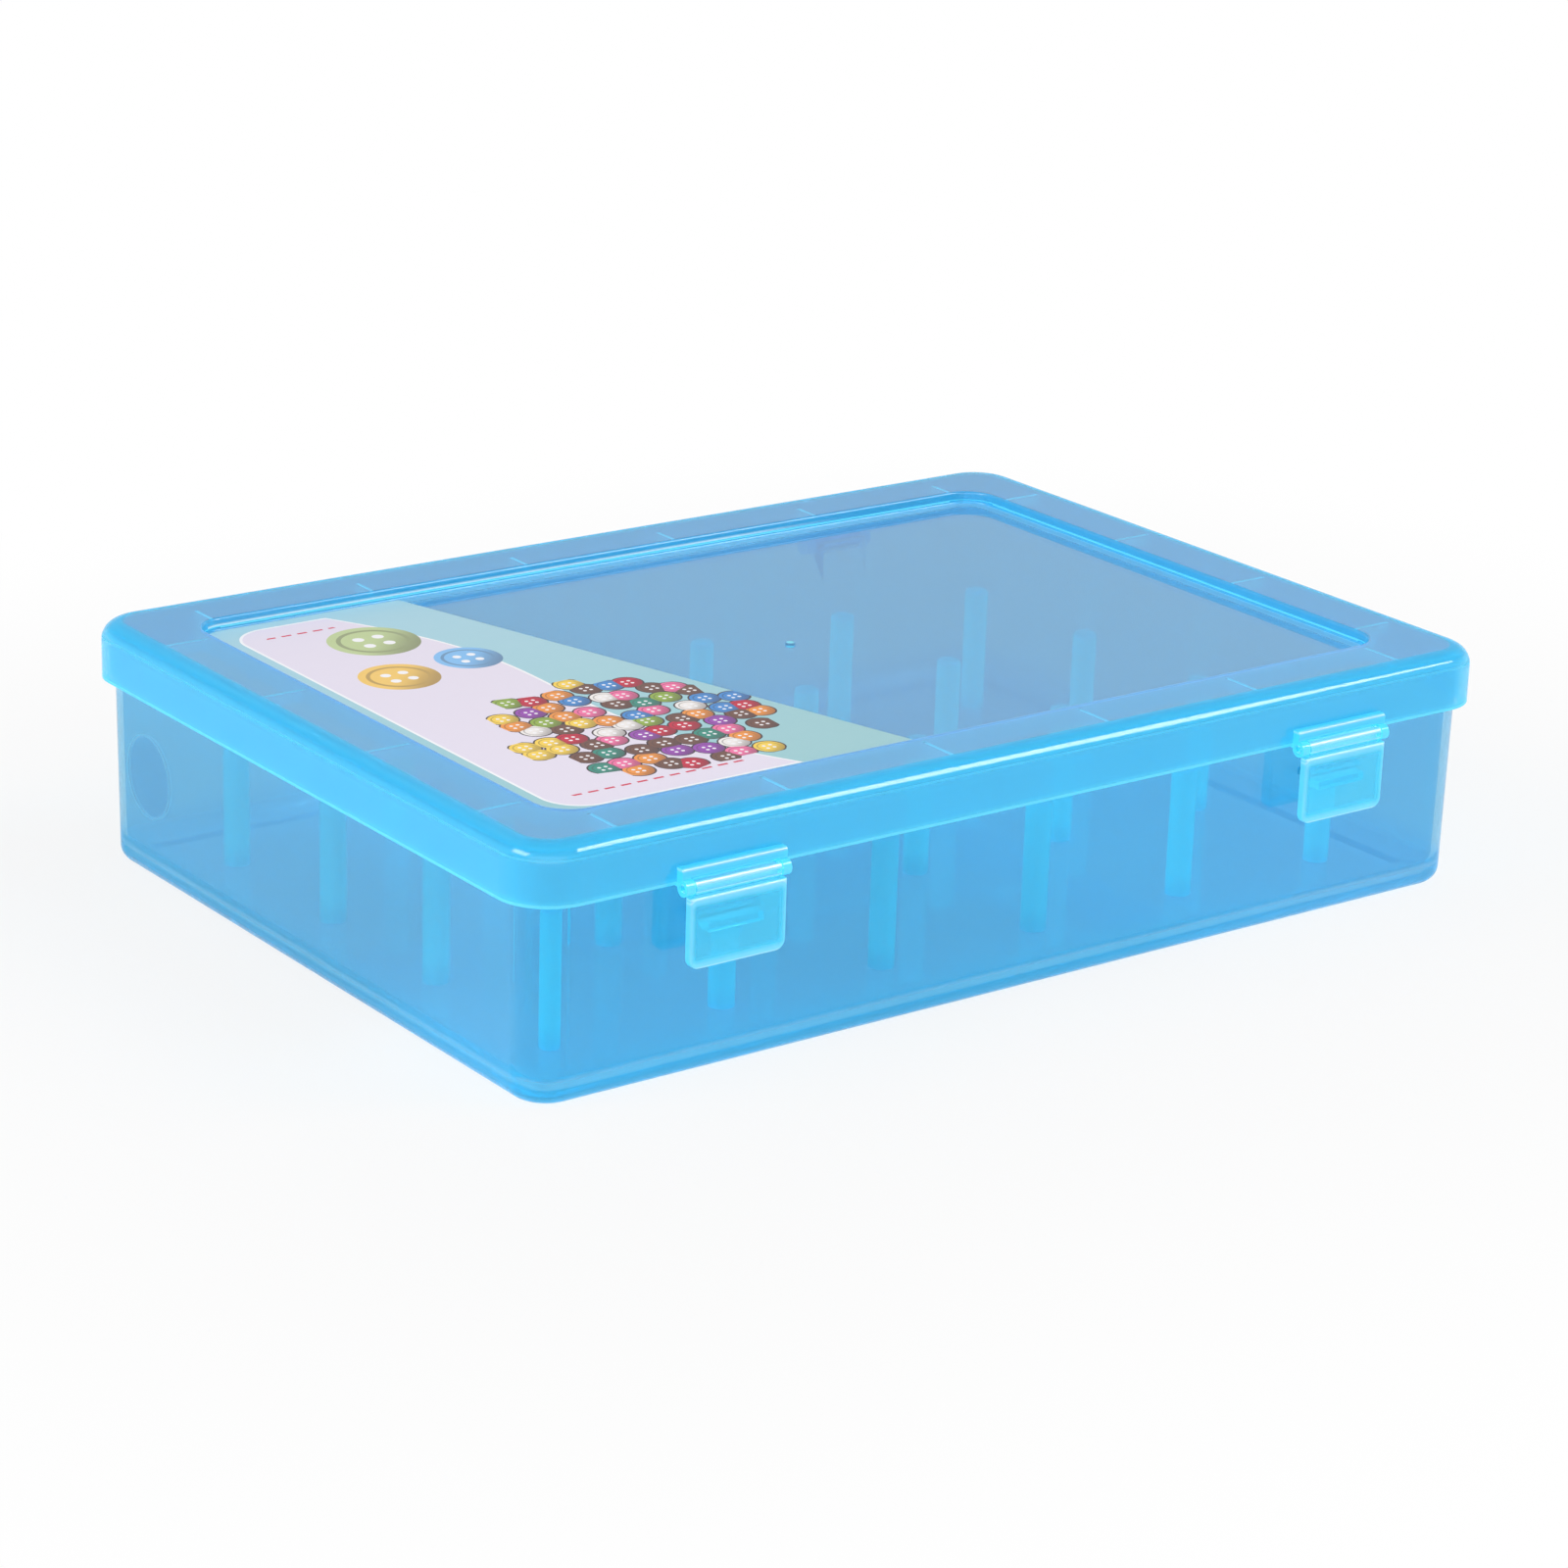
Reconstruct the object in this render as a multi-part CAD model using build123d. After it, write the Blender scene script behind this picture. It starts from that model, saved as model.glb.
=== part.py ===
from build123d import *
from math import hypot, sqrt
import os

# Closed box, in millimetres: X along the front, Y to the back, Z up from the table.
lid_length = 270.0
lid_width = 191.0
lid_height = 59.0              # table to the top face of the lid
lid_corner_radius = 12.0
lid_edge_radius = 4.5          # rounded edge between the lid's top and its skirt
lid_inner_radius = 2.0         # inside that edge
lid_wall = 2.0
skirt_height = 13.4            # from the lid's top face to the skirt's lower edge

recess_border = 18.3           # from the lid's outer face to the recess
recess_depth = 3.2
recess_corner_radius = 8.0
recess_edge_radius = 0.7
gate_nub_radius = 1.2
gate_nub_height = 0.5
border_rib_thickness = 1.0
border_rib_depth = 2.6

# Base tray
skirt_clearance = 1.0          # between the skirt and the tray wall
tray_wall = 2.0
tray_floor = 2.0
tray_corner_radius = 9.0
tray_draft = 0.4               # how far each wall leans in at the table
tray_cove_radius = 6.0         # inside, between floor and walls
tray_foot_radius = 4.0         # outside, between floor and walls
tray_rim_radius = 0.7          # outside, around the rim
rim_gap = 0.3                  # between the tray's rim and the lid that covers it
rib_rim_gap = 0.9              # between a border rib and the tray wall
rib_swing_gap = 0.5            # between the back ribs and the rim they turn past

# Thread pegs
peg_columns = 6
peg_rows = 4
peg_end_margin = 22.0          # from the tray's end walls to the nearest pegs
peg_side_margin = 26.5         # from its front and back walls to the nearest pegs
peg_radius = 3.0
peg_height = 32.0
peg_tip_radius = 1.0
spigot_radius = 1.5
spigot_height = 4.0
spigot_clearance = 0.05
spigot_end_gap = 0.4

# Latches on the front, hinge clips on the back
fitting_offset = 85.7          # of each latch and each hinge from the box's middle
pivot_clearance = 0.08

latch_width = 24.6
latch_thickness = 1.8
latch_length = 17.9            # from the pivot down to the plate's lower edge
latch_corner_radius = 2.5
latch_edge_radius = 0.5
latch_barrel_radius = 1.8
latch_pivot_drop = 0.3         # of the pivot below the skirt's lower edge
latch_skirt_gap = 0.4          # between the barrel and the skirt behind it
latch_pin_radius = 1.0
latch_lug_width = 2.2
latch_side_gap = 0.3
latch_groove = 0.7             # step from the plate's face back to the web above it
latch_swing_gap = 0.25         # between the plate's top edge and the lugs it turns past
rail_height = 2.2
rail_nose_radius = 0.9
rail_overhang = 0.1            # of the rail's front past the pivot
hook_width = 14.0
hook_thickness = 2.0
hook_drop = 8.6                # from the pivot down to the hook's upper face
hook_engagement = 1.3
hook_lead = 1.0                # bevel under the hook's tip
catch_gap = 0.3
catch_width = 16.0
catch_thickness = 1.6
catch_reach = 2.7
catch_lead_radius = 0.5

hinge_skirt_gap = 0.1          # height of the skirt's lower edge over the clip
hinge_clip_radius = 2.3
hinge_clip_width = 14.0
hinge_slot_width = 2.0
hinge_rod_radius = 1.3
hinge_arm_width = 3.0
hinge_arm_height = 4.4         # of the arm's root on the skirt
hinge_side_gap = 0.4
hinge_bracket_height = 10.0    # on the tray wall, down from the pivot
hinge_bracket_top = 1.1        # above the pivot
hinge_slot_angle = 45.0        # of the clip's slot, up from the horizontal

# Printed card in the left part of the recess
card_thickness = 0.3
card_side_gap = 0.9
card_corner_radius = 7.0
card_front_length = 98.3
card_back_length = 55.2

# Worked out from the sizes above
skirt_bottom = lid_height - skirt_height
tray_length = lid_length - 2 * (lid_wall + skirt_clearance)
tray_width = lid_width - 2 * (lid_wall + skirt_clearance)
lid_underside = lid_height - lid_wall
rim_height = lid_underside - rim_gap
recess_length = lid_length - 2 * recess_border
recess_width = lid_width - 2 * recess_border
panel_top = lid_height - recess_depth
panel_underside = panel_top - lid_wall
skirt_face = lid_width / 2
fitting_face = skirt_face + latch_skirt_gap + 2 * latch_barrel_radius
tray_face = tray_width / 2
column_pitch = (tray_length - 2 * peg_end_margin) / (peg_columns - 1)
row_pitch = (tray_width - 2 * peg_side_margin) / (peg_rows - 1)
root = 0.5                     # how deep an added feature runs into what carries it
latch_pivot_y = -(fitting_face - latch_barrel_radius)
latch_pivot_height = skirt_bottom - latch_pivot_drop
latch_bottom = latch_pivot_height - latch_length
hook_top = latch_pivot_height - hook_drop
hinge_pivot_y = fitting_face - hinge_clip_radius
hinge_pivot_height = skirt_bottom - hinge_skirt_gap - hinge_clip_radius
barrel_length = latch_width - 2 * latch_side_gap - latch_lug_width
rail_width = barrel_length + 2 * (latch_side_gap + latch_lug_width)
rib_bottom = lid_underside - border_rib_depth
rim_swing = hypot(hinge_pivot_y - tray_face + tray_wall, rim_height - hinge_pivot_height)
back_rib_swing = sqrt((rim_swing + rib_swing_gap) ** 2 - (rib_bottom - hinge_pivot_height) ** 2)
plate_top = latch_pivot_height - latch_barrel_radius - latch_swing_gap


def block(x, y, z):
    """A box between pairs of limits along each axis."""
    size = Box(x[1] - x[0], y[1] - y[0], z[1] - z[0], align=(Align.MIN, Align.MIN, Align.MIN))
    return Pos(x[0], y[0], z[0]) * size


def rounded_block(size_x, size_y, radius, bottom, top):
    """An upright block with rounded vertical corners, centred on the Z axis."""
    outline = Pos(0, 0, bottom) * RectangleRounded(size_x, size_y, radius)
    return extrude(outline, top - bottom)


def leaning_block(size_x, size_y, radius, lean, bottom, top):
    """A rounded block whose foot is smaller than its top by the lean on each side."""
    foot = Pos(0, 0, bottom) * RectangleRounded(size_x - 2 * lean, size_y - 2 * lean, radius)
    head = Pos(0, 0, top) * RectangleRounded(size_x, size_y, radius)
    return loft([foot, head], ruled=True)


def bottom_edges(shape):
    return shape.faces().sort_by(Axis.Z)[0].edges()


def top_edges(shape):
    return shape.faces().sort_by(Axis.Z)[-1].edges()


def rod_along_x(radius, half_length, y, z):
    return Pos(0, y, z) * Rot(0, 90, 0) * Cylinder(radius, 2 * half_length)


def slab_along_x(points, half_length):
    """A prism along X from an outline of (y, z) points."""
    wire = Polyline([(0, y, z) for y, z in points], close=True)
    return extrude(make_face(wire), half_length, dir=(1, 0, 0), both=True)


def peg_places():
    """Row, column and (x, y) of each peg, counted from the front left."""
    for row in range(peg_rows):
        for column in range(peg_columns):
            x = (column - (peg_columns - 1) / 2) * column_pitch
            y = (row - (peg_rows - 1) / 2) * row_pitch
            yield row + 1, column + 1, x, y


def tray_shell():
    outside = leaning_block(tray_length, tray_width, tray_corner_radius, tray_draft, 0, rim_height)
    outside = fillet(bottom_edges(outside), tray_foot_radius)
    outside = fillet(top_edges(outside), tray_rim_radius)
    inside = leaning_block(
        tray_length - 2 * tray_wall,
        tray_width - 2 * tray_wall,
        tray_corner_radius - tray_wall,
        tray_draft,
        tray_floor,
        rim_height + root,
    )
    inside = fillet(bottom_edges(inside), tray_cove_radius)
    return outside - inside


def spigot(x, y):
    height = spigot_height + root
    return Pos(x, y, tray_floor - root) * Cylinder(
        spigot_radius, height, align=(Align.CENTER, Align.CENTER, Align.MIN)
    )


def catch():
    """The ledge on the tray's front wall that a latch hooks under."""
    bottom = hook_top + catch_gap
    half = catch_width / 2
    ledge = block(
        (-half, half),
        (-(tray_face + catch_reach), -(tray_face - tray_draft - root)),
        (bottom, bottom + catch_thickness),
    )
    upper_front = ledge.edges().filter_by(Axis.X).sort_by(Axis.Z)[-2:].sort_by(Axis.Y)[0]
    return fillet(upper_front, catch_lead_radius)


def hinge_clip():
    """The tray's half of a hinge: a snap clip on a bracket under the skirt."""
    half = hinge_clip_width / 2
    inner = tray_face - tray_draft - root
    bracket = slab_along_x(
        [
            (inner, hinge_pivot_height - hinge_bracket_height),
            (inner, hinge_pivot_height + hinge_bracket_top),
            (hinge_pivot_y, hinge_pivot_height + hinge_bracket_top),
            (hinge_pivot_y, hinge_pivot_height - hinge_clip_radius),
        ],
        half,
    )
    barrel = rod_along_x(hinge_clip_radius, half, hinge_pivot_y, hinge_pivot_height)
    bore = rod_along_x(hinge_rod_radius + pivot_clearance, half + root, hinge_pivot_y, hinge_pivot_height)
    slot = block(
        (-half - root, half + root),
        (0, hinge_clip_radius + root),
        (-hinge_slot_width / 2, hinge_slot_width / 2),
    )
    slot = Pos(0, hinge_pivot_y, hinge_pivot_height) * Rot(hinge_slot_angle, 0, 0) * slot
    return bracket + barrel - bore - slot


def base_tray():
    tray = tray_shell()
    tray += [spigot(x, y) for _, _, x, y in peg_places()]
    for side in (-1, 1):
        tray += Pos(side * fitting_offset, 0, 0) * catch()
        tray += Pos(side * fitting_offset, 0, 0) * hinge_clip()
    return tray


def lid_shell():
    outside = rounded_block(lid_length, lid_width, lid_corner_radius, skirt_bottom, lid_height)
    outside = fillet(top_edges(outside), lid_edge_radius)
    inside = rounded_block(
        lid_length - 2 * lid_wall,
        lid_width - 2 * lid_wall,
        lid_corner_radius - lid_wall,
        skirt_bottom,
        lid_underside,
    )
    inside = fillet(top_edges(inside), lid_inner_radius)
    pocket = rounded_block(
        recess_length + 2 * lid_wall,
        recess_width + 2 * lid_wall,
        recess_corner_radius + lid_wall,
        panel_underside,
        lid_height - lid_edge_radius / 2,
    )
    recess = rounded_block(recess_length, recess_width, recess_corner_radius, panel_top, lid_height)
    recess = fillet(bottom_edges(recess), recess_edge_radius)
    shell = outside - inside + pocket - recess
    rim = shell.faces().filter_by(GeomType.PLANE).sort_by(Axis.Z)[-1].inner_wires()[0].edges()
    return fillet(rim, recess_edge_radius)


def border_ribs():
    """Thin ribs under the border, in line with the rows and columns of pegs."""
    heights = (rib_bottom, lid_underside + root)
    half = border_rib_thickness / 2
    inner_x = recess_length / 2 + lid_wall - root
    inner_y = recess_width / 2 + lid_wall - root
    outer_x = tray_length / 2 - tray_wall - rib_rim_gap
    front_y = -(tray_face - tray_wall - rib_rim_gap)
    back_y = hinge_pivot_y - back_rib_swing
    columns = sorted({x for _, _, x, _ in peg_places()})
    rows = sorted({y for _, _, _, y in peg_places()})
    ribs = []
    for x in columns:
        ribs.append(block((x - half, x + half), (inner_y, back_y), heights))
        ribs.append(block((x - half, x + half), (front_y, -inner_y), heights))
    for y in rows:
        ribs.append(block((inner_x, outer_x), (y - half, y + half), heights))
        ribs.append(block((-outer_x, -inner_x), (y - half, y + half), heights))
    return ribs


def latch_rail():
    """The rail on the lid's front edge, with the two lugs that a latch turns in."""
    half = rail_width / 2
    top = latch_pivot_height + latch_barrel_radius + rail_height + latch_swing_gap
    back = -(skirt_face - root)
    front = latch_pivot_y - rail_overhang
    rail = block((-half, half), (front, back), (top - rail_height, top))
    nose = rail.edges().filter_by(Axis.X).sort_by(Axis.Y)[:2]
    rail = fillet(nose, rail_nose_radius)
    cheek = block(
        (-half, half),
        (latch_pivot_y, back),
        (latch_pivot_height, top - rail_height / 2),
    )
    cheek += rod_along_x(latch_barrel_radius, half, latch_pivot_y, latch_pivot_height)
    heel = slab_along_x(
        [
            (latch_pivot_y, latch_pivot_height - latch_barrel_radius),
            (latch_pivot_y, latch_pivot_height),
            (back, latch_pivot_height + latch_barrel_radius),
            (back, skirt_bottom),
            (-skirt_face, skirt_bottom),
        ],
        half,
    )
    inner = barrel_length / 2 + latch_side_gap
    gap = block(
        (-inner, inner),
        (-fitting_face - root, -skirt_face),
        (skirt_bottom - 2 * latch_barrel_radius, top - rail_height),
    )
    hole = rod_along_x(latch_pin_radius + pivot_clearance, half + root, latch_pivot_y, latch_pivot_height)
    return rail + (cheek + heel - gap - hole)


def hinge_arms():
    """The lid's half of a hinge: a rod held between two arms behind the skirt."""
    inner = hinge_clip_width / 2 + hinge_side_gap
    outer = inner + hinge_arm_width
    arm_radius = hinge_clip_radius
    root_y = skirt_face - root
    arm = slab_along_x(
        [
            (root_y, skirt_bottom + hinge_arm_height),
            (skirt_face, skirt_bottom + hinge_arm_height),
            (hinge_pivot_y + arm_radius, hinge_pivot_height),
            (hinge_pivot_y, hinge_pivot_height),
            (root_y, skirt_bottom),
        ],
        outer,
    )
    arm += rod_along_x(arm_radius, outer, hinge_pivot_y, hinge_pivot_height)
    arm -= block(
        (-inner, inner),
        (min(root_y, hinge_pivot_y - arm_radius) - root, fitting_face + root),
        (0, lid_height),
    )
    arm += rod_along_x(hinge_rod_radius, inner + root, hinge_pivot_y, hinge_pivot_height)
    return arm


def lid():
    cover = lid_shell()
    cover += border_ribs()
    cover += Pos(0, 0, panel_top - root) * Cylinder(
        gate_nub_radius, gate_nub_height + root, align=(Align.CENTER, Align.CENTER, Align.MIN)
    )
    for side in (-1, 1):
        cover += Pos(side * fitting_offset, 0, 0) * latch_rail()
        cover += Pos(side * fitting_offset, 0, 0) * hinge_arms()
    return cover


def latch():
    """One latch: a plate that hangs from a barrel, with a hook on its back."""
    half = latch_width / 2
    front = -fitting_face
    back = front + latch_thickness
    plate = block((-half, half), (front, back), (latch_bottom, plate_top))
    lower_corners = plate.edges().filter_by(Axis.Y).sort_by(Axis.Z)[:2]
    plate = fillet(lower_corners, latch_corner_radius)
    face_edges = plate.faces().sort_by(Axis.Y)[0].edges()
    plate = fillet(face_edges, latch_edge_radius)
    barrel_half = barrel_length / 2
    web = block(
        (-barrel_half, barrel_half),
        (front + latch_groove, back),
        (plate_top - root, latch_pivot_height),
    )
    barrel = rod_along_x(latch_barrel_radius, barrel_half, latch_pivot_y, latch_pivot_height)
    pin = rod_along_x(
        latch_pin_radius, barrel_half + latch_lug_width, latch_pivot_y, latch_pivot_height
    )
    tip = -(tray_face + catch_reach - hook_engagement)
    hook = block(
        (-hook_width / 2, hook_width / 2),
        (back - root, tip),
        (hook_top - hook_thickness, hook_top),
    )
    lower_tip = hook.edges().filter_by(Axis.X).sort_by(Axis.Z)[:2].sort_by(Axis.Y)[-1]
    hook = chamfer(lower_tip, hook_lead)
    return plate + web + barrel + pin + hook


def thread_peg():
    """A round peg with a softened tip, and a socket in its foot for the spigot."""
    upright = (Align.CENTER, Align.CENTER, Align.MIN)
    peg = Cylinder(peg_radius, peg_height, align=upright)
    peg = fillet(top_edges(peg), peg_tip_radius)
    socket = Cylinder(spigot_radius + spigot_clearance, spigot_height + spigot_end_gap, align=upright)
    return peg - socket


def label_card():
    """A thin card with a slanting right edge that fills the recess's left part."""
    left = -(recess_length / 2 - card_side_gap)
    near = -(recess_width / 2 - card_side_gap)
    outline = make_face(
        Polyline(
            [
                (left, near),
                (left + card_front_length, near),
                (left + card_back_length, -near),
                (left, -near),
            ],
            close=True,
        )
    )
    left_corners = outline.vertices().sort_by(Axis.X)[:2]
    outline = fillet(left_corners, card_corner_radius)
    return Pos(0, 0, panel_top) * extrude(outline, card_thickness)


def save(shape, name):
    os.makedirs("parts", exist_ok=True)
    solids = shape.solids()
    body = solids[0] if len(solids) == 1 else Compound(solids)
    export_step(body, "parts/" + name + ".step")


save(base_tray(), "base_tray")
save(lid(), "lid")
for side, name in ((-1, "latch_left"), (1, "latch_right")):
    save(Pos(side * fitting_offset, 0, 0) * latch(), name)
for row, column, x, y in peg_places():
    save(Pos(x, y, tray_floor) * thread_peg(), f"thread_peg_{row}_{column}")
save(label_card(), "label_card")
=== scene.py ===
import bpy
import math
from mathutils import Matrix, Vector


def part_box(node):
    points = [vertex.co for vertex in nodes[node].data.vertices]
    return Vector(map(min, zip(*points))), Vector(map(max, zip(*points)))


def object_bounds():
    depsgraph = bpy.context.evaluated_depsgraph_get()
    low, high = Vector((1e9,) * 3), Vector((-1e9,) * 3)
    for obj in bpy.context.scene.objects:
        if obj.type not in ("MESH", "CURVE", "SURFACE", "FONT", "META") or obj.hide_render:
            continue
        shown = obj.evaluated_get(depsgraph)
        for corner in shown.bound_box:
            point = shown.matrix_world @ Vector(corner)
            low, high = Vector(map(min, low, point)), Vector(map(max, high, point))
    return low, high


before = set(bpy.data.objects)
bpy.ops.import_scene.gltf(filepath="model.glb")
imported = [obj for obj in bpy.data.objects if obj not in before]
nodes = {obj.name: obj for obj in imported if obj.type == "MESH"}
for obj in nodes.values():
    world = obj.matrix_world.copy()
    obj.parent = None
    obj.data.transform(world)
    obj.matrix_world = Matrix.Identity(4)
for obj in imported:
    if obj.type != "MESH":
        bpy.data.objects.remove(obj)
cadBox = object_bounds()
scene = bpy.context.scene
metre = 1000.0  # in millimetres, which the materials use


class Wire:
    # A socket of a material, with the sums that are used on it

    def __init__(self, shop, socket):
        self.shop = shop
        self.socket = socket

    def __add__(self, other):
        return self.shop.sum("ADD", self, other)

    def __radd__(self, other):
        return self.shop.sum("ADD", other, self)

    def __sub__(self, other):
        return self.shop.sum("SUBTRACT", self, other)

    def __rsub__(self, other):
        return self.shop.sum("SUBTRACT", other, self)

    def __mul__(self, other):
        return self.shop.sum("MULTIPLY", self, other)

    def __rmul__(self, other):
        return self.shop.sum("MULTIPLY", other, self)

    def __truediv__(self, other):
        return self.shop.sum("DIVIDE", self, other)

    def __lt__(self, other):
        return self.shop.sum("LESS_THAN", self, other)

    def __gt__(self, other):
        return self.shop.sum("GREATER_THAN", self, other)


class Shop:
    # Makes the nodes of one material or of the world

    def __init__(self, owner):
        owner.use_nodes = True
        self.tree = owner.node_tree
        self.tree.nodes.clear()

    def node(self, kind, settings=(), **inputs):
        # An input is named as Blender names it, with _ for a space, or i and its number
        made = self.tree.nodes.new(kind)
        for name, value in dict(settings).items():
            if name == "stops":
                self.bands(made.color_ramp, value)
            else:
                setattr(made, name, value)
        for name, value in inputs.items():
            key = int(name[1:]) if name[1:].isdigit() else name.replace("_", " ")
            self.feed(made.inputs[key], value)
        return made

    def bands(self, ramp, colours):
        # Plain bands of equal width, one for each colour; the ramp's own last stop is part of the last band
        ramp.interpolation = "CONSTANT"
        for i, colour in enumerate(colours):
            stop = ramp.elements.new(i / len(colours)) if i else ramp.elements[0]
            stop.color = (*colour, 1.0)
        ramp.elements[-1].color = (*colours[-1], 1.0)

    def feed(self, socket, value):
        if isinstance(value, Wire):
            self.tree.links.new(value.socket, socket)
        elif isinstance(value, tuple) and socket.bl_idname == "NodeSocketColor":
            socket.default_value = (*value, 1.0)
        else:
            socket.default_value = value

    def out(self, kind, settings=(), output=0, **inputs):
        return Wire(self, self.node(kind, settings, **inputs).outputs[output])

    def sum(self, operation, a, b=0.0):
        return self.out("ShaderNodeMath", {"operation": operation}, i0=a, i1=b)

    def size(self, a):
        return self.sum("ABSOLUTE", a)

    def larger(self, a, b):
        return self.sum("MAXIMUM", a, b)

    def smaller(self, a, b):
        return self.sum("MINIMUM", a, b)

    def far(self, a, b):
        # The square root of a squared plus b squared
        return self.sum("SQRT", a * a + b * b)

    def smooth(self, value, low, high):
        # 0 at low, 1 at high, eased in between and level beyond; high may be the lower one
        settings = {"interpolation_type": "SMOOTHSTEP"}
        return self.out("ShaderNodeMapRange", settings, i0=value, i1=low, i2=high, i3=0.0, i4=1.0)

    def near(self, value, middle, reach):
        # 1 at the middle, down to 0 at the reach on either side
        return self.smooth(self.size(value - middle), reach, 0.0)

    def outline(self, a, b, halfA, halfB, radius):
        # How far outside a rectangle with rounded corners a place is, and less than 0 inside it
        outA = self.size(a) - (halfA - radius)
        outB = self.size(b) - (halfB - radius)
        corner = self.far(self.larger(outA, 0.0), self.larger(outB, 0.0))
        return corner + self.smaller(self.larger(outA, outB), 0.0) - radius

    def blend(self, share, a, b):
        # The colour a where share is 0 and b where it is 1
        return self.out("ShaderNodeMix", {"data_type": "RGBA"}, output=2, i0=share, i6=a, i7=b)

    def noise(self, place, scale):
        return self.out("ShaderNodeTexNoise", i0=place, Scale=scale, Detail=2.0)

    def stretched(self, place, scale):
        # The place with each axis multiplied, for a pattern that is drawn out
        return self.out("ShaderNodeVectorMath", {"operation": "MULTIPLY"}, i0=place, i1=scale)

    def place(self):
        # Object coordinates in metres, and then x, y and z in millimetres
        whole = self.out("ShaderNodeTexCoord", output="Object")
        parts = self.node("ShaderNodeSeparateXYZ", i0=whole)
        return [whole] + [Wire(self, s) * metre for s in parts.outputs]

    def mix(self, share, a, b):
        return self.out("ShaderNodeMixShader", i0=share, i1=a, i2=b)

    def finish(self, surface, kind="ShaderNodeOutputMaterial"):
        self.node(kind, Surface=surface)


def newMaterial(name):
    made = bpy.data.materials.new(name)
    return made, Shop(made)


def paint(names, material):
    for name in names:
        for slot in nodes[name].material_slots:
            slot.material = material


# What the clear plastics share: long faint streaks and fine rubs in the gloss, and slow waves in the surface
moulding = {
    "streaks": (60.0, 420.0, 60.0), "streakShare": 0.6, "rubs": 1500.0, "rubShare": 0.4,
    "waves": 60.0, "waveDepth": 0.000002, "waveStrength": 0.5, "hazeIor": 1.9,
}


def clearPlastic(look, shop, whole, haze, glow, through, matt=0.0):
    # A clear shader that bends light and one that scatters it, mixed by the share of haze. Of the scattered
    # light the share through goes on and the rest comes back. Light on its way to another surface passes
    # straight through, coloured by the wall. The look's gloss is its least and greatest roughness
    streaks = shop.noise(shop.stretched(whole, moulding["streaks"]), 1.0)
    rubs = shop.noise(whole, moulding["rubs"])
    low, high = look["gloss"]
    rough = low + (high - low) * (streaks * moulding["streakShare"] + rubs * moulding["rubShare"]) + matt
    waves = shop.noise(whole, moulding["waves"])
    bump = shop.out("ShaderNodeBump", Height=waves, Distance=moulding["waveDepth"],
                    Strength=moulding["waveStrength"])
    clear = shop.out("ShaderNodeBsdfPrincipled", Base_Color=look["tint"], Transmission_Weight=1.0,
                     Roughness=rough, IOR=look["ior"], Normal=bump)
    scattered = shop.out("ShaderNodeBsdfPrincipled", Base_Color=glow, Roughness=rough,
                         IOR=moulding["hazeIor"], Normal=bump)
    passed = shop.out("ShaderNodeBsdfTranslucent", Color=look["glow"])
    hazy = shop.mix(haze, clear, shop.mix(through, scattered, passed))
    shaded = shop.out("ShaderNodeLightPath", output="Is Shadow Ray")
    shop.finish(shop.mix(shaded, hazy, shop.out("ShaderNodeBsdfTransparent", Color=look["shade"])))


# In each plastic, tint is what one wall lets through, glow the colour of its haze, and shade the light that a
# surface lets through. The lighter colour along thin edges is painted light, the light such edges seem to
# catch, and the near-white colour of lines is painted highlight. Shares of haze are 0 to 1, and sizes are in
# millimetres
tray = {
    "ior": 1.5, "gloss": (0.02, 0.07), "through": 0.5,
    "tint": (0.37, 0.69, 0.845), "glow": (0.05, 0.61, 0.91), "shade": (0.76, 0.92, 0.97),
    "halfLength": 132.0, "halfWidth": 92.5, "cornerRadius": 9.0,
    "haze": 0.17, "floorHaze": 0.28, "floorTop": 2.4,
    "footHaze": 0.4, "footHeight": 3.0, "footFade": 10.0, "footDepth": 9.0, "footBlend": 4.0,
    "leftWall": 4.0, "ringAt": (71.0, 25.5), "ringRadius": 10.0, "ringWidth": 0.8, "discFade": 1.0,
    "ringHaze": 0.4, "ringGlow": (0.25, 0.74, 0.96), "discHaze": 0.3, "discGlow": (0.03, 0.36, 0.66),
    "rightGlow": (0.19, 0.50, 0.76), "rightEnds": (20.0, 125.0),
}


def trayPlastic():
    # Hazier in the solid foot and cove and greyer to the right, with the faint round mark that is moulded in
    # the left wall
    made, shop = newMaterial("trayPlastic")
    whole, x, y, z = shop.place()
    depth = shop.outline(x, y, tray["halfLength"], tray["halfWidth"], tray["cornerRadius"])
    foot = shop.smooth(z, tray["footHeight"] + tray["footFade"], tray["footHeight"])
    foot = foot * shop.smooth(depth, -tray["footDepth"], -tray["footDepth"] + tray["footBlend"])
    ringY, ringZ = tray["ringAt"]
    far = shop.far(y - ringY, z - ringZ)
    leftWall = x < tray["leftWall"] - tray["halfLength"]
    ring = shop.near(far, tray["ringRadius"], tray["ringWidth"]) * leftWall
    disc = shop.smooth(far, tray["ringRadius"], tray["ringRadius"] - tray["discFade"]) * leftWall
    bottom = (z < tray["floorTop"]) * (tray["floorHaze"] - tray["haze"])
    haze = tray["haze"] + shop.larger(bottom, foot * (tray["footHaze"] - tray["haze"]))
    haze = shop.larger(haze, shop.larger(disc * tray["discHaze"], ring * tray["ringHaze"]))
    glow = shop.blend(shop.smooth(x, *tray["rightEnds"]), tray["glow"], tray["rightGlow"])
    glow = shop.blend(disc, glow, tray["discGlow"])
    glow = shop.blend(ring, glow, tray["ringGlow"])
    clearPlastic(tray, shop, whole, haze, glow, tray["through"])
    return made


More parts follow.
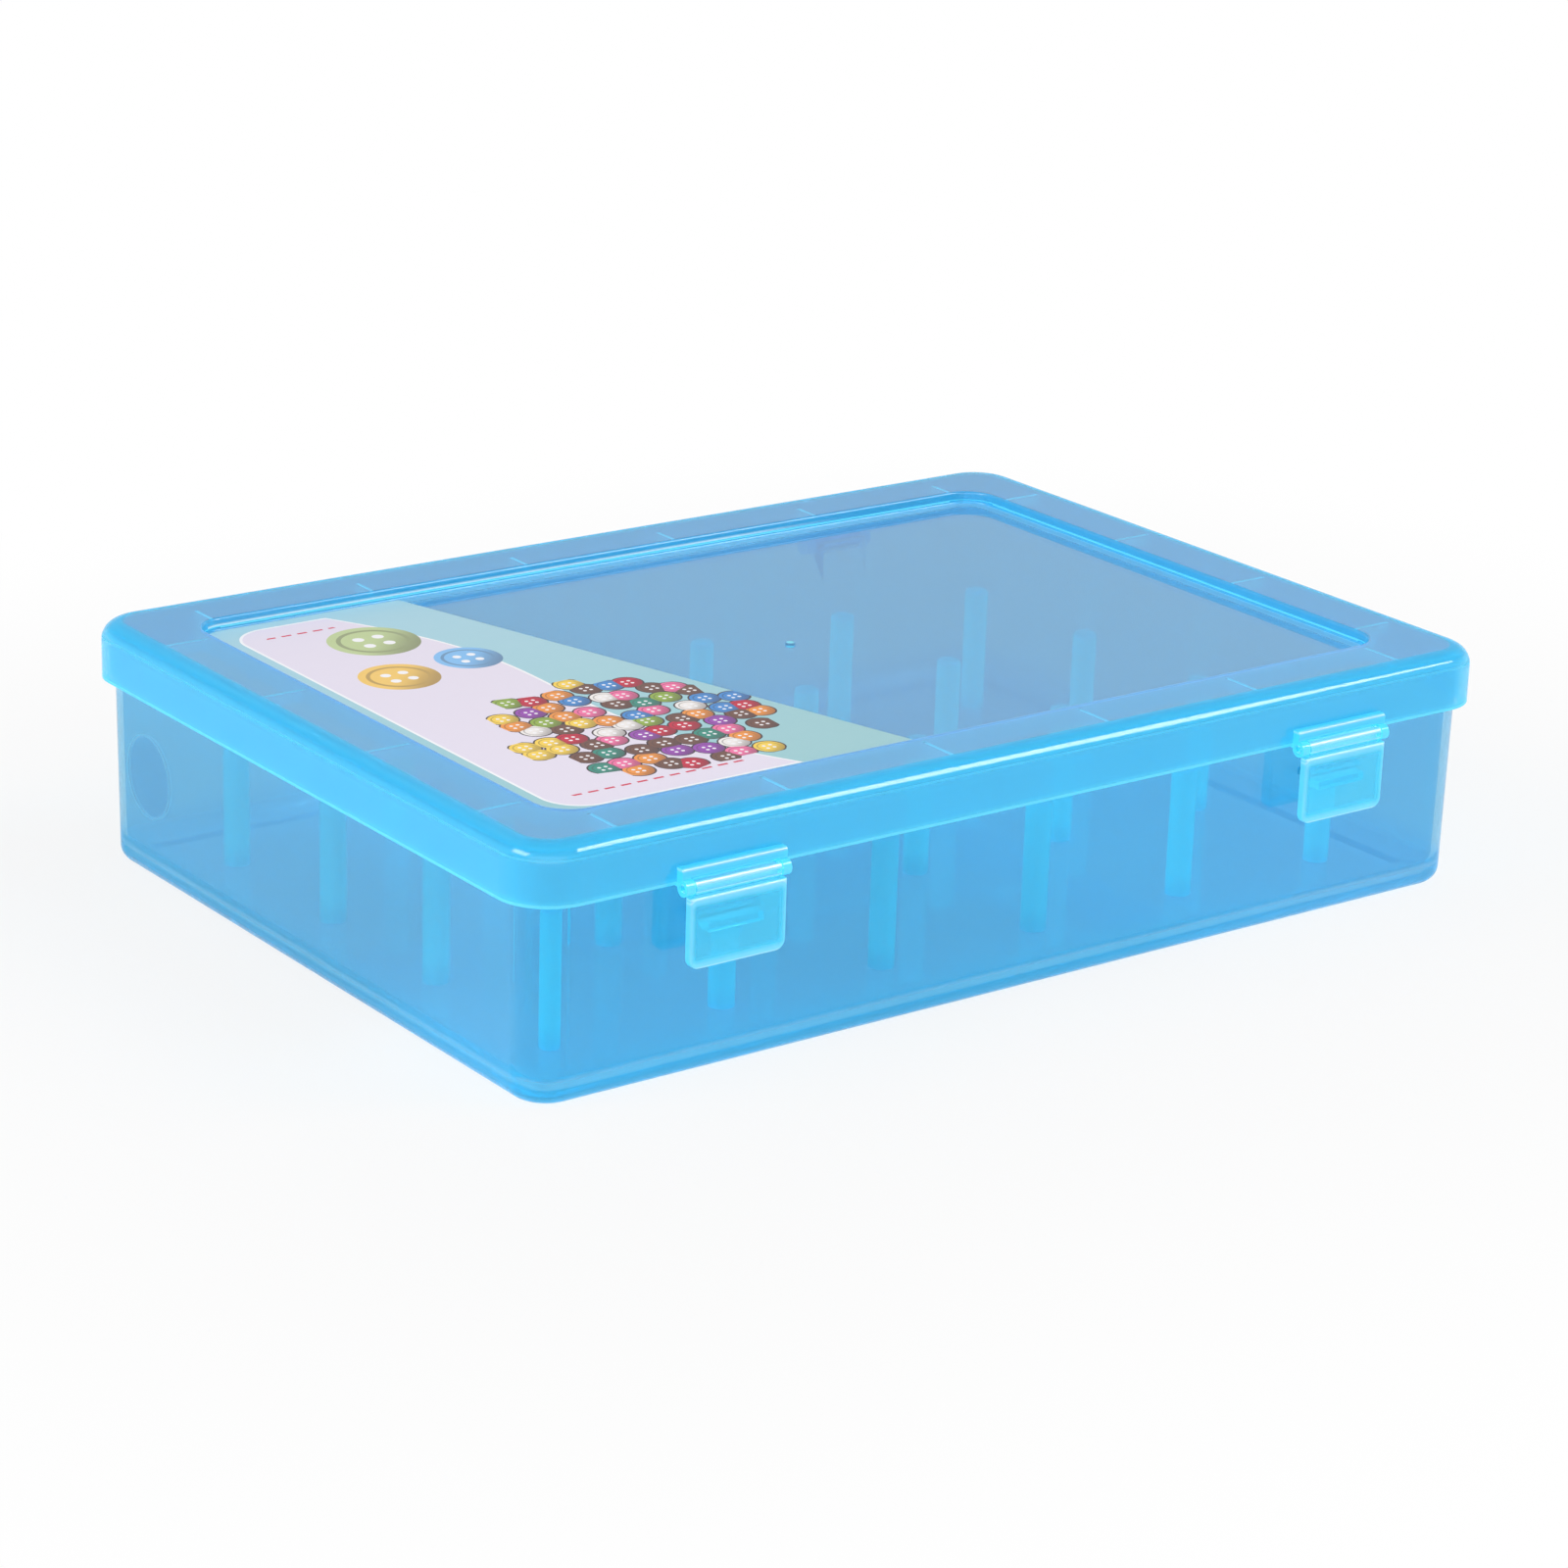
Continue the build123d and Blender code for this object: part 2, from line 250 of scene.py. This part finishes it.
lid = {
    "ior": 1.36, "gloss": (0.02, 0.05), "through": 0.5, "topThrough": 0.15,
    "tint": (0.37, 0.66, 0.82), "glow": (0.13, 0.79, 1.0), "shade": (0.76, 0.92, 0.97),
    # The lighter colour along thin edges is painted light, and the near-white colour after it is a painted
    # highlight
    "edge": (0.22, 0.90, 1.0), "line": (0.75, 0.95, 1.0),
    "halfLength": 135.0, "halfWidth": 95.5, "cornerRadius": 12.0, "edgeRadius": 4.5, "edgeFade": 1.2,
    "topHaze": 0.27, "topGlow": (0.24, 0.42, 0.62), "skirtHaze": 0.42,
    "border": 18.3, "borderHaze": 0.4, "borderGlow": (0.19, 0.47, 0.70),
    "bandHaze": 0.7, "bandGlow": (0.03, 0.62, 1.0), "bandFrom": 56.8, "bandFade": 1.0,
    "lipHaze": 0.85, "skirtBottom": 45.6, "lipHeight": 0.6, "lipFade": 0.3,
    "panelTop": 55.8, "recessRadius": 8.0, "recessHaze": 0.75, "recessMatt": 0.22,
    "recessGlow": (0.03, 0.40, 0.82), "recessReach": (0.6, 0.4), "recessRise": (0.05, 0.25),
    "backGlow": (0.02, 0.34, 0.70), "backReach": 1.0,
    "lineHaze": 0.95, "lineAt": 57.2, "lineHeight": 0.6, "lineEnds": (80.0, 35.0),
    "rimHaze": 0.7, "rimMatt": 0.3, "rimEnds": (-6.0, -1.5), "rimDepth": (-0.3, 0.2),
    "ribHaze": 0.85, "ribTop": 56.95, "nubHaze": 0.8, "nubRadius": 1.2, "nubFade": 0.5,
    "fittingHaze": 0.8, "fittingGlow": (0.15, 0.88, 1.0), "fittingOut": (0.05, 0.3),
    "railLineAt": 49.15, "railLineHeight": 0.45,
}


def lidPlastic():
    # Evenly hazy on top. Haziest in the rounded edge, the lip, the recess's wall, the ribs and the fittings
    # that stand out of the skirt, and matt round the panel's rim. A painted highlight runs along the recess's
    # back wall and another along the rail's top, and the lip, the ribs and the gate nub are lighter with
    # painted light
    made, shop = newMaterial("lidPlastic")
    whole, x, y, z = shop.place()
    halfLength, halfWidth, border = lid["halfLength"], lid["halfWidth"], lid["border"]
    outer = shop.outline(x, y, halfLength, halfWidth, lid["cornerRadius"])
    inner = shop.outline(x, y, halfLength - border, halfWidth - border, lid["recessRadius"])
    onBorder = inner > 0.0
    skirt = shop.smooth(outer, -lid["edgeRadius"] - lid["edgeFade"], -lid["edgeRadius"])
    band = skirt * shop.smooth(z, lid["bandFrom"], lid["bandFrom"] + lid["bandFade"])
    lipTop = lid["skirtBottom"] + lid["lipHeight"]
    lip = skirt * shop.smooth(z, lipTop + lid["lipFade"], lipTop)
    rise = shop.smooth(z, *(lid["panelTop"] + r for r in lid["recessRise"]))
    wall = shop.smooth(shop.size(inner), *lid["recessReach"]) * rise
    backWall = wall * (y > halfWidth - border - lid["backReach"])
    # Painted highlight: a near-white line along the recess's back wall, where a glint falls
    line = backWall * shop.near(z, lid["lineAt"], lid["lineHeight"]) * shop.smooth(x, *lid["lineEnds"])
    ribs = (z < lid["ribTop"]) * onBorder * (outer < -lid["edgeRadius"])
    rimLow, rimHigh = (lid["panelTop"] + d for d in lid["rimDepth"])
    rim = (z > rimLow) * (z < rimHigh) * shop.smooth(inner, *lid["rimEnds"])
    nub = shop.smooth(shop.far(x, y), lid["nubRadius"], lid["nubRadius"] - lid["nubFade"])
    fitting = shop.smooth(outer, *lid["fittingOut"])
    # Painted highlight along the rail's top edge
    railHighlight = fitting * shop.near(z, lid["railLineAt"], lid["railLineHeight"])
    # Painted light: the lip, the gate nub and the ribs take the lighter edge colour as if they caught light,
    # and on the nub it is a painted glint
    paintedLightOnThin = shop.larger(lip, shop.larger(nub, ribs))
    haze = shop.larger(lid["topHaze"], onBorder * lid["borderHaze"])
    for share, full in ((skirt, "skirtHaze"), (band, "bandHaze"), (lip, "lipHaze"), (wall, "recessHaze"),
                        (ribs, "ribHaze"), (rim, "rimHaze"), (nub, "nubHaze"), (fitting, "fittingHaze"),
                        (line, "lineHaze")):
        haze = shop.larger(haze, share * lid[full])
    glow = shop.blend(onBorder, lid["topGlow"], lid["borderGlow"])
    for share, colour in ((skirt, "glow"), (band, "bandGlow"), (wall, "recessGlow"), (backWall, "backGlow"),
                          (line, "line"), (fitting, "fittingGlow"), (railHighlight, "line"), (paintedLightOnThin, "edge")):
        glow = shop.blend(share, glow, lid[colour])
    through = lid["topThrough"] + skirt * (lid["through"] - lid["topThrough"])
    matt = shop.larger(rim * lid["rimMatt"], wall * lid["recessMatt"])
    clearPlastic(lid, shop, whole, haze, glow, through, matt)
    return made


latch = {
    "ior": 1.5, "gloss": (0.02, 0.06), "through": 0.4,
    "tint": (0.45, 0.86, 0.94), "glow": (0.06, 0.82, 1.0), "shade": (0.8, 0.95, 0.98),
    # The lighter colour along the plate's outline is painted light, and the near-white colour after it is a
    # painted highlight
    "edge": (0.30, 0.82, 1.0), "line": (0.70, 0.95, 1.0), "haze": 0.30, "edgeHaze": 0.85, "lineHaze": 0.95,
    "plateTop": 43.25, "cornerRadius": 2.5, "edgeEnds": (-2.6, -0.78), "rimAt": 0.3, "rimWidth": 0.4,
    # The painted highlight lines sit on the barrel, in the groove and on the plate's top
    "lines": ((46.3, 0.9), (44.5, 0.35), (42.95, 0.5)),  # each one's height and its reach up and down
}


def latchPlastic():
    # Hazier along the plate's outline and lighter there with painted light, with painted highlight lines
    # along the barrel, the groove and the plate's top, and one just inside the plate's outline
    made, shop = newMaterial("latchPlastic")
    whole, x, y, z = shop.place()
    low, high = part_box("latch_right")
    bottom = low.z * metre
    halfWide = (high.x - low.x) * metre / 2
    halfHigh = (latch["plateTop"] - bottom) / 2
    across = shop.size(x) - (high.x + low.x) * metre / 2
    up = z - (bottom + halfHigh)
    out = shop.outline(across, up, halfWide, halfHigh, latch["cornerRadius"])
    plate = z < latch["plateTop"]
    # Painted light: the plate's outline is hazier and a lighter cyan, as if its edges caught light
    edge = shop.smooth(out, *latch["edgeEnds"]) * plate
    # Painted highlights: a thin line just inside the plate's outline, and the lines listed in the latch's
    # table
    line = shop.near(out, -latch["rimAt"], latch["rimWidth"]) * plate
    for at, reach in latch["lines"]:
        line = shop.larger(line, shop.near(z, at, reach))
    haze = latch["haze"] + edge * (latch["edgeHaze"] - latch["haze"])
    haze = shop.larger(haze, line * latch["lineHaze"])
    glow = shop.blend(line, shop.blend(edge, latch["glow"], latch["edge"]), latch["line"])
    clearPlastic(latch, shop, whole, haze, glow, latch["through"])
    return made


peg = {
    "ior": 1.5, "gloss": (0.05, 0.12), "through": 0.5,
    "tint": (0.5, 0.9, 0.96), "glow": (0.08, 0.97, 1.0), "shade": (0.76, 0.93, 0.97),
    "haze": 0.85, "footHaze": 0.6, "footEnds": (2.0, 9.0), "tip": (0.10, 0.80, 1.0), "tipEnds": (32.5, 33.5),
}


def pegPlastic():
    # Clearer at the foot, and of another blue at the tip
    made, shop = newMaterial("pegPlastic")
    whole, _, _, z = shop.place()
    haze = peg["footHaze"] + shop.smooth(z, *peg["footEnds"]) * (peg["haze"] - peg["footHaze"])
    glow = shop.blend(shop.smooth(z, *peg["tipEnds"]), peg["glow"], peg["tip"])
    clearPlastic(peg, shop, whole, haze, glow, peg["through"])
    return made


paint(["base_tray"], trayPlastic())
paint(["lid"], lidPlastic())
paint(["latch_left", "latch_right"], latchPlastic())
paint([n for n in nodes if n.startswith("thread_peg")], pegPlastic())
print("plastics done")


# The printed card. Places are in millimetres from the card's left edge and from the box's middle line
card = {
    "paper": (0.755, 0.70, 0.815), "white": (0.88, 0.87, 0.90), "dark": (0.05, 0.03, 0.04),
    "back": (0.76, 0.75, 0.78), "frontTeal": (0.32, 0.57, 0.61), "backTeal": (0.38, 0.62, 0.72),
    "frame": 6.2, "backFrame": 4.4, "outline": 0.7, "fieldRadius": 9.0, "fieldLength": 100.0,
    "slant": 0.2824, "frontWidth": 98.3, "side": 27.0, "swell": 8.0, "swellLength": 26.0,
    "thread": (0.62, 0.03, 0.08), "stitch": 2.6, "stitchGap": 1.6, "stitchWidth": 0.8, "stitchIn": 7.0,
    "stitchShift": 1000.0, "stitchEnd": 5.6,
    "buttons": (  # each one's middle, radius and colour
        (33.0, 51.0, 11.0, (0.50, 0.60, 0.30)),
        (24.0, 25.0, 9.5, (0.86, 0.56, 0.14)),
        (45.0, 29.0, 8.0, (0.22, 0.50, 0.84)),
    ),
    "ior": 1.3, "coat": 0.1, "coatRough": 0.1, "rough": 0.32, "roughVary": 0.12,
    "grain": 260.0, "grainDepth": 0.00004, "grainStrength": 0.4,
}

# The heap of small buttons: an oval, and in it a loose grid with a button in each cell
pile = {
    "middle": (51.0, -31.0), "reach": (31.0, 33.0), "pitch": 6.6, "radius": 3.5, "gap": 0.4, "loose": 0.45,
    "colours": (
        (0.55, 0.01, 0.05), (0.85, 0.16, 0.36), (0.84, 0.30, 0.05), (0.90, 0.62, 0.08), (0.28, 0.42, 0.06),
        (0.03, 0.26, 0.20), (0.05, 0.25, 0.62), (0.30, 0.06, 0.42), (0.16, 0.07, 0.05), (0.84, 0.80, 0.78),
    ),
}

# A button's own measures are shares of its radius
buttonShape = {
    "groove": (0.70, 0.80), "grooveDark": 0.45, "holeAt": 0.24, "hole": 0.13,
    "sideEnds": (-0.2, 1.5), "sideDark": 0.55,
}


def button(shop, dx, dy, radius, colour, under):
    # A disc that darkens to one side, with a groove inside its rim and four holes, on the colour under it
    grooveIn, grooveOut = (radius * share for share in buttonShape["groove"])
    holeAt = radius * buttonShape["holeAt"]
    far = shop.far(dx, dy)
    ring = (far > grooveIn) * (far < grooveOut)
    hole = shop.far(shop.size(dx) - holeAt, shop.size(dy) - holeAt) < radius * buttonShape["hole"]
    side = shop.smooth(dx - dy, *(radius * share for share in buttonShape["sideEnds"]))
    dark = shop.larger(ring * buttonShape["grooveDark"], side * buttonShape["sideDark"])
    face = shop.blend(dark, colour, card["dark"])
    face = shop.blend(hole, face, card["white"])
    return shop.blend(far < radius, under, face)


def buttonPile(shop, u, v, under):
    # A Voronoi grid gives each cell its middle and its colour
    spot = shop.out("ShaderNodeCombineXYZ", X=u / pile["pitch"], Y=v / pile["pitch"])
    cells = shop.node("ShaderNodeTexVoronoi", {"voronoi_dimensions": "2D"}, Vector=spot, Scale=1.0,
                      Randomness=pile["loose"])
    middles = shop.node("ShaderNodeSeparateXYZ", i0=Wire(shop, cells.outputs["Position"]))
    cellU, cellV = (Wire(shop, s) * pile["pitch"] for s in middles.outputs[:2])
    pick = shop.out("ShaderNodeSeparateColor", i0=Wire(shop, cells.outputs["Color"]))
    colour = shop.out("ShaderNodeValToRGB", {"stops": pile["colours"]}, i0=pick)
    heaped = button(shop, u - cellU, v - cellV, pile["radius"], colour, card["dark"])
    ovalU = (cellU - pile["middle"][0]) / pile["reach"][0]
    ovalV = (cellV - pile["middle"][1]) / pile["reach"][1]
    inOval = ovalU * ovalU + ovalV * ovalV < 1.0
    inButton = shop.far(u - cellU, v - cellV) < pile["radius"] + pile["gap"]
    return shop.blend(inOval * inButton, under, heaped)


def cardPrint():
    # A pale field with a swelling side on a teal ground, stitched along both ends, with three buttons and a
    # heap. The underside is plain
    made, shop = newMaterial("cardPrint")
    whole, x, v, z = shop.place()
    low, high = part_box("label_card")
    u = x - low.x * metre
    halfWide = (high.y - low.y) * metre / 2
    teal = shop.blend(shop.smooth(v, -halfWide, halfWide), card["frontTeal"], card["backTeal"])
    swell = shop.sum("SINE", v / card["swellLength"]) * card["swell"]
    sideAt = card["frontWidth"] - (v + halfWide) * card["slant"] - card["side"] + swell
    middle = (card["frame"] - card["backFrame"]) / 2
    reach = halfWide - (card["backFrame"] + card["frame"]) / 2
    fieldMiddle = card["frame"] + card["fieldLength"]
    ends = shop.outline(u - fieldMiddle, v - middle, card["fieldLength"], reach, card["fieldRadius"])
    field = shop.larger(ends, u - sideAt)
    colour = shop.blend(field < card["outline"], teal, card["white"])
    colour = shop.blend(field < 0.0, colour, card["paper"])
    along = shop.sum("MODULO", u + card["stitchShift"], card["stitch"] + card["stitchGap"])
    across = shop.size(shop.size(v - middle) - reach + card["stitchIn"])
    stitches = (along < card["stitch"]) * (across < card["stitchWidth"] / 2) * (field < -card["stitchEnd"])
    colour = shop.blend(stitches, colour, card["thread"])
    for atU, atV, radius, shade in card["buttons"]:
        colour = button(shop, u - atU, v - atV, radius, shade, colour)
    colour = buttonPile(shop, u, v, colour)
    upper = z > (low.z + high.z) * metre / 2
    colour = shop.blend(upper, card["back"], colour)
    grain = shop.noise(whole, card["grain"])
    bump = shop.out("ShaderNodeBump", Height=grain, Distance=card["grainDepth"],
                    Strength=card["grainStrength"])
    shop.finish(shop.out("ShaderNodeBsdfPrincipled", Base_Color=colour, IOR=card["ior"],
                         Roughness=card["rough"] + grain * card["roughVary"], Coat_Weight=card["coat"],
                         Coat_Roughness=card["coatRough"], Normal=bump))
    return made


paint(["label_card"], cardPrint())
print("card printed")


# Floor, backdrop and light, in metres and watts
stage = {
    "floor": (0.72, 0.72, 0.72), "floorSize": 12.0, "drop": 0.0002, "fadeTo": 0.25, "whiteNear": 0.8,
    "skyOnThings": 0.5, "horizon": (0.05, 0.30), "overhead": 0.62,
    "bounces": 24, "glossyBounces": 6,  # light passes many walls of the box
}


def seen(shop):
    # 1 for rays that show the background: from the camera, a shine or through the plastic
    path = shop.node("ShaderNodeLightPath")
    kinds = ("Camera", "Glossy", "Transmission")
    camera, glossy, clear = (Wire(shop, path.outputs[f"Is {kind} Ray"]) for kind in kinds)
    return shop.larger(camera, shop.larger(glossy, clear))


def makeFloor():
    # A square just under the box that shows white, but for part of the shadow near the box
    half, drop = stage["floorSize"] / 2, stage["drop"]
    mesh = bpy.data.meshes.new("floor")
    corners = [(-half, -half, -drop), (half, -half, -drop), (half, half, -drop), (-half, half, -drop)]
    mesh.from_pydata(corners, [], [(0, 1, 2, 3)])
    floor = bpy.data.objects.new("floor", mesh)
    scene.collection.objects.link(floor)
    made, shop = newMaterial("paleFloor")
    _, x, y, _ = shop.place()
    high = cadBox[1]
    outX = shop.larger(shop.size(x) - high[0] * metre, 0.0)
    outY = shop.larger(shop.size(y) - high[1] * metre, 0.0)
    fade = shop.smooth(shop.far(outX, outY), 0.0, stage["fadeTo"] * metre)
    fade = fade + (1.0 - fade) * stage["whiteNear"]
    matt = shop.out("ShaderNodeBsdfDiffuse", Color=stage["floor"])
    white = shop.out("ShaderNodeEmission", Strength=1.0)
    shop.finish(shop.mix(fade * seen(shop), matt, white))
    mesh.materials.append(made)


def makeWorld():
    # White behind the box and greyer overhead for the rays that show it, and a plain level for the light on
    # things
    world = bpy.data.worlds.new("paleRoom")
    scene.world = world
    shop = Shop(world)
    levels = (stage["skyOnThings"], 1.0, stage["overhead"])
    sky, white, grey = (shop.out("ShaderNodeBackground", Color=(1.0, 1.0, 1.0), Strength=n) for n in levels)
    towards = shop.node("ShaderNodeSeparateXYZ", i0=shop.out("ShaderNodeTexCoord"))
    up = shop.smooth(Wire(shop, towards.outputs["Z"]), *stage["horizon"])
    shop.finish(shop.mix(seen(shop), sky, shop.mix(up, white, grey)), "ShaderNodeOutputWorld")


# Azimuth is from the front towards the right. Each lamp looks at the box's middle, and rolls about that line
lamps = {
    "front": {"azimuth": -34.0, "elevation": 18.0, "distance": 2.2, "roll": 0.0,
              "size": (3.0, 1.6), "power": 17.0},
    "left": {"azimuth": -95.0, "elevation": 38.0, "distance": 1.5, "roll": 0.0,
             "size": (0.8, 0.42), "power": 9.0},
    "strip": {"azimuth": 47.0, "elevation": 41.0, "distance": 1.5, "roll": 29.0,
              "size": (0.42, 0.56), "power": 8.6},
}


def makeLamp(name):
    look = lamps[name]
    data = bpy.data.lights.new(name, "AREA")
    data.shape = "RECTANGLE"
    data.size, data.size_y = look["size"]
    data.energy = look["power"]
    lamp = bpy.data.objects.new(name, data)
    scene.collection.objects.link(lamp)
    azimuth, elevation = math.radians(look["azimuth"]), math.radians(look["elevation"])
    flat = math.cos(elevation) * look["distance"]
    height = math.sin(elevation) * look["distance"]
    lamp.location = (math.sin(azimuth) * flat, -math.cos(azimuth) * flat, height)
    aim = (-lamp.location).to_track_quat("-Z", "Y").to_matrix()
    lamp.rotation_euler = (aim @ Matrix.Rotation(math.radians(look["roll"]), 3, "Z")).to_euler()


view = {
    "place": (-0.590545, -0.786406, 0.36296), "azimuth": -36.88, "elevation": 19.17, "roll": 1.82,
    "lens": 100.79, "sensor": 36.0,
}


def makeCamera():
    data = bpy.data.cameras.new("camera")
    data.lens = view["lens"]
    data.sensor_width = view["sensor"]
    camera = bpy.data.objects.new("camera", data)
    scene.collection.objects.link(camera)
    turn = Matrix.Rotation(math.radians(view["azimuth"]), 4, "Z")
    tilt = Matrix.Rotation(math.radians(90.0 - view["elevation"]), 4, "X")
    roll = Matrix.Rotation(math.radians(view["roll"]), 4, "Z")
    camera.matrix_world = Matrix.Translation(view["place"]) @ turn @ tilt @ roll
    scene.camera = camera


makeFloor()
makeWorld()
for name in lamps:
    makeLamp(name)
makeCamera()
scene.view_settings.view_transform = "Standard"
scene.cycles.max_bounces = stage["bounces"]
scene.cycles.transmission_bounces = stage["bounces"]
scene.cycles.transparent_max_bounces = stage["bounces"]
scene.cycles.glossy_bounces = stage["glossyBounces"]
print("stage, lamps and camera done")
